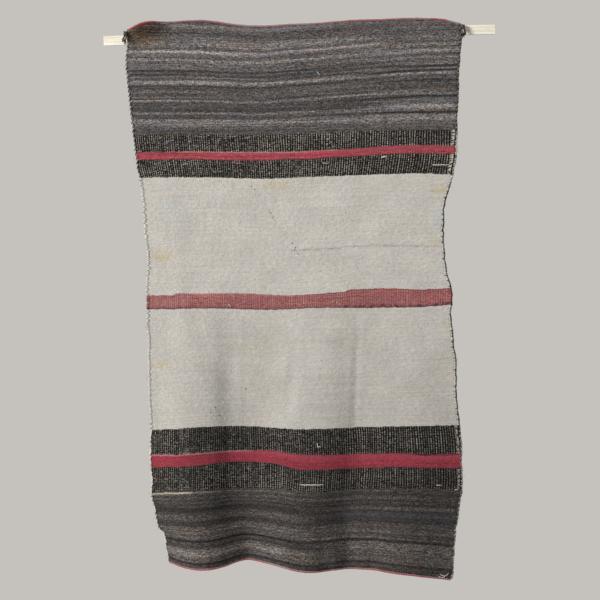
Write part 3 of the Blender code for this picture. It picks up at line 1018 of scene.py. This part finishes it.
def add_weft_turns(side, material):
    """Short loops of the cloth's own wefts round its outermost warps, in groups."""
    name = "weft_turns_" + SIDES[side]
    across = float(side)
    inward_step = -0.01 if side else 0.01
    reaches = [(at, reach) for at, reach, _ in TURNS[side]]
    bareness = [(at, bare) for at, _, bare in TURNS[side]]
    count = int(CLOTH_LENGTH / TURN_SPACING)
    half = CLOTH_THICKNESS / 2 - 0.0003
    tuck = half - 0.0013
    spaced = random.Random(41 + side)
    turns = TubeSet()
    for index in range(2, count - 2):
        in_group = index % (TURNS_PER_GROUP + 1)
        at = index * TURN_SPACING
        if in_group == 0 and spaced.random() < along_table(bareness, at):
            continue
        down = (index + spaced.uniform(-0.25, 0.25)) / count
        edge = cloth_point(across, down)
        inside = unit(cloth_point(across + inward_step, down) - edge)
        along = unit(cloth_point(across, down + 0.002) - cloth_point(across, down - 0.002))
        front = unit(np.cross(along, inside))
        front *= -np.sign(front[1])
        reach = along_table(reaches, at) * spaced.uniform(0.85, 1.12)
        reach *= 0.72 + 0.32 * math.sin(math.pi * (in_group - 0.5) / TURNS_PER_GROUP) ** 2
        slip = along * spaced.uniform(-0.0008, 0.0008)
        path = [edge + inside * TURN_TAIL + front * tuck - slip]
        for angle in np.linspace(100, -100, 6):
            turned = math.radians(angle)
            swell = half + TURN_SWELL * max(math.cos(turned), 0.0) ** 0.5 * min(reach / 0.005, 1.0)
            aside = front * swell * math.sin(turned)
            path.append(edge - inside * reach * max(math.cos(turned), -0.2) + aside)
        path.append(edge + inside * TURN_TAIL - front * tuck + slip)
        warps, places = cloth_place(np.array(across), edge)
        radii = np.full(len(path), TURN_RADIUS * spaced.uniform(0.95, 1.25))
        radii[[0, -1]] *= 0.5
        turns.add(path, radii, 6, 0.0, (float(warps), float(places) + spaced.uniform(-0.001, 0.001)))
    return add_piece(name, turns.mesh(name), material, "undyed_wool")


def add_corner_tie(side, material):
    """Selvage yarns knotted at a top corner, with their cut ends hanging."""
    name = "corner_tie_" + SIDES[side]
    outward = 1.0 if side else -1.0
    corner = cloth_point(float(side), 0.0)
    front = -(LATH_THICKNESS + LATH_CLEARANCE + TIE_CLEARANCE)
    centre = np.array([corner[0] + outward * 0.0060, min(corner[1], front), corner[2] - 0.007])
    tie = TubeSet()
    for winding, (lift, lean) in enumerate(((0.0, 0.25), (0.0022, -0.35))):
        turn = np.linspace(0, TIE_TURNS * 2 * math.pi, 40)
        wide = TIE_RADIUS * np.cos(turn + winding)
        deep = TIE_RADIUS * 0.85 * np.sin(turn + winding)
        high = 0.0045 - turn / turn[-1] * 0.0100 + lift + lean * wide
        tie.add(centre + np.stack([wide, deep, high], -1), np.full(len(turn), TIE_YARN), 8, 0.15 * winding)
    bent = random.Random(51 + side)
    for length, lean, forward, droop, radius, tone in TIE_ENDS:
        steps = np.linspace(0, 1, 12)[:, None]
        way = unit([outward * lean, -forward, -0.7])
        sway = np.array([bent.uniform(-1, 1), bent.uniform(-0.4, 0.2), 0.0]) * 0.0020
        path = centre + way * length * (steps - 0.35 * droop * steps ** 2) + sway * np.sin(steps * 5.0)
        path[:, 2] -= 0.003 + length * 0.45 * droop * steps[:, 0] ** 2
        path[:, 1] = np.minimum(path[:, 1], front + 0.004)
        tie.add(path, radius * (1 - 0.35 * steps[:, 0] ** 3), 6, tone)
    return add_piece(name, tie.mesh(name), material, "dark_yarn", "corner_tuft_" + SIDES[side])


def add_floats(material):
    """Pale weft ends that come out on the face, run along it and go back in."""
    floats = TubeSet()
    shares = np.linspace(0, 1, 14)
    for x1, z1, x2, z2, radius, arch in PALE_FLOATS:
        path = []
        for share in shares:
            point = find_cloth(x1 + (x2 - x1) * share, z1 + (z2 - z1) * share)
            lift = CLOTH_THICKNESS / 2 - radius * 0.8 + arch * math.sin(math.pi * share) ** 0.6
            path.append(point + np.array([0.0, -lift, 0.0004 * math.sin(share * 23)]))
        floats.add(path, radius * (0.75 + 0.25 * np.sin(shares * math.pi)), 6, 1.0)
    return add_piece("loose_floats", floats.mesh("loose_floats"), material, "undyed_wool")


def add_specks(material):
    """Short dark bits of chaff caught in the pale wool, and the thread that comes and goes."""
    specks = TubeSet()
    strewn = random.Random(61)
    surface = CLOTH_THICKNESS / 2 + 0.0001
    for x, z, length in DARK_SPECKS:
        point = find_cloth(x, z) - [0.0, surface, 0.0]
        angle = strewn.uniform(0, math.pi)
        half = np.array([math.cos(angle), 0.0, math.sin(angle)]) * length / 2
        specks.add([point - half, point - [0.0, 0.0003, 0.0], point + half], SPECK_RADII, 6)
    bends = np.array(DARK_THREAD)
    for start, end in zip(bends[:-1], bends[1:]):
        for piece in range(3):
            if strewn.random() < 0.35:
                continue
            path = []
            for step in range(4):
                point = find_cloth(*(start + (end - start) * (piece + step / 3 * 0.8) / 3))
                lift = surface + 0.0003 * math.sin(math.pi * step / 3)
                path.append(point + [strewn.uniform(-0.0008, 0.0008), -lift, 0.0])
            specks.add(path, np.full(4, DARK_THREAD_RADIUS), 5, strewn.uniform(0.6, 0.9))
    return add_piece("dark_specks", specks.mesh("dark_specks"), material, "dark_yarn")


def add_fibres(side, material):
    """Fine fuzz standing out along one side."""
    name = "loose_fibres_" + SIDES[side]
    fibres = TubeSet()
    grown = random.Random(71 + side)
    outward = 1.0 if side else -1.0
    for _ in range(FIBRE_COUNT):
        down = grown.uniform(0.01, 0.99)
        start = cloth_point(float(side), down) + [outward * 0.002, grown.uniform(-0.002, 0.001), 0.0]
        length = grown.uniform(*FIBRE_LENGTH)
        way = unit([outward, grown.uniform(-0.6, 0.3), grown.uniform(-0.9, 0.7)])
        bend = np.array([0.0, grown.uniform(-0.3, 0.3), grown.uniform(-0.8, 0.3)])
        steps = np.linspace(0, 1, 5)[:, None]
        path = start + way * length * steps + bend * length * steps ** 2
        tone = 0.0 if grown.random() < 0.6 else 1.0
        fibres.add(path, FIBRE_RADIUS * (1 - 0.7 * steps[:, 0]), 3, tone)
    return add_piece(name, fibres.mesh(name), material, "dark_yarn")


# Stage

def add_camera():
    data = bpy.data.cameras.new("camera")
    data.sensor_width = SENSOR
    data.sensor_fit = "HORIZONTAL"
    data.lens = SENSOR * CAMERA_DISTANCE / FRAME_WIDTH
    camera = add_object("camera", data)
    x, y, z = FRAME_CENTRE
    camera.location = (x, y - CAMERA_DISTANCE, z)
    camera.rotation_euler = (math.pi / 2, CAMERA_ROLL, 0.0)
    bpy.context.scene.camera = camera


def add_area_light(name, place, size, power):
    data = bpy.data.lights.new(name, "AREA")
    data.shape = "DISK"
    data.size = size
    data.energy = power
    lamp = add_object(name, data)
    lamp.location = place
    aim = Vector(LIGHT_TARGET) - Vector(place)
    lamp.rotation_euler = aim.to_track_quat("-Z", "Y").to_euler()


def add_world():
    """Pale surroundings: one even colour to look at, and a soft light from all round."""
    world = bpy.data.worlds.new("studio")
    world.use_nodes = True
    bpy.context.scene.world = world
    nodes = world.node_tree.nodes
    links = world.node_tree.links
    seen = nodes["Background"]
    seen.inputs[0].default_value = linear(ROOM_COLOUR)
    seen.inputs[1].default_value = 1.0
    lit = nodes.new("ShaderNodeBackground")
    lit.inputs[0].default_value = ROOM_LIGHT_COLOUR
    lit.inputs[1].default_value = ROOM_LIGHT
    path = nodes.new("ShaderNodeLightPath")
    either = nodes.new("ShaderNodeMixShader")
    links.new(path.outputs["Is Camera Ray"], either.inputs[0])
    links.new(lit.outputs[0], either.inputs[1])
    links.new(seen.outputs[0], either.inputs[2])
    links.new(either.outputs[0], nodes["World Output"].inputs[0])


def add_floor():
    """Pale floor below the blanket, in front of where the wall would stand."""
    half_width, front, back, level = FLOOR
    corners = [(-half_width, front, level), (half_width, front, level),
               (half_width, back, level), (-half_width, back, level)]
    mesh = make_mesh("floor", corners, [(0, 1, 2, 3)])
    graph = Graph("pale_floor", 0.8)
    mottle = graph.noise(graph.object_place(), 3.0, scale=3.0)
    darker, paler = (linear(colour) for colour in FLOOR_COLOURS)
    mesh.materials.append(graph.finish(graph.blend(mottle, darker, paler), 0.0))
    floor = add_object("floor", mesh)


def main():
    bpy.context.scene.view_settings.view_transform = "Standard"
    add_camera()
    add_world()
    add_area_light("key", KEY_PLACE, KEY_SIZE, KEY_POWER)
    add_area_light("back", BACK_PLACE, BACK_SIZE, BACK_POWER)
    add_floor()
    wool = weave_material()
    red = yarn_material("red_cord_yarn", CORD_RED, CORD_FADED)
    selvage = yarn_material("selvage_yarn", SELVAGE_DARK, SELVAGE_PALE)
    cloth = add_cloth(wool)
    trim = add_cords(red, selvage)
    trim += [add_weft_turns(side, wool) for side in (0, 1)]
    trim += [add_corner_tie(side, selvage) for side in (0, 1)]
    trim += [add_floats(selvage), add_specks(selvage)]
    trim += [add_fibres(side, selvage) for side in (0, 1)]
    bpy.data.objects["hanging_lath"].material_slots[0].material = wood_material()


main()
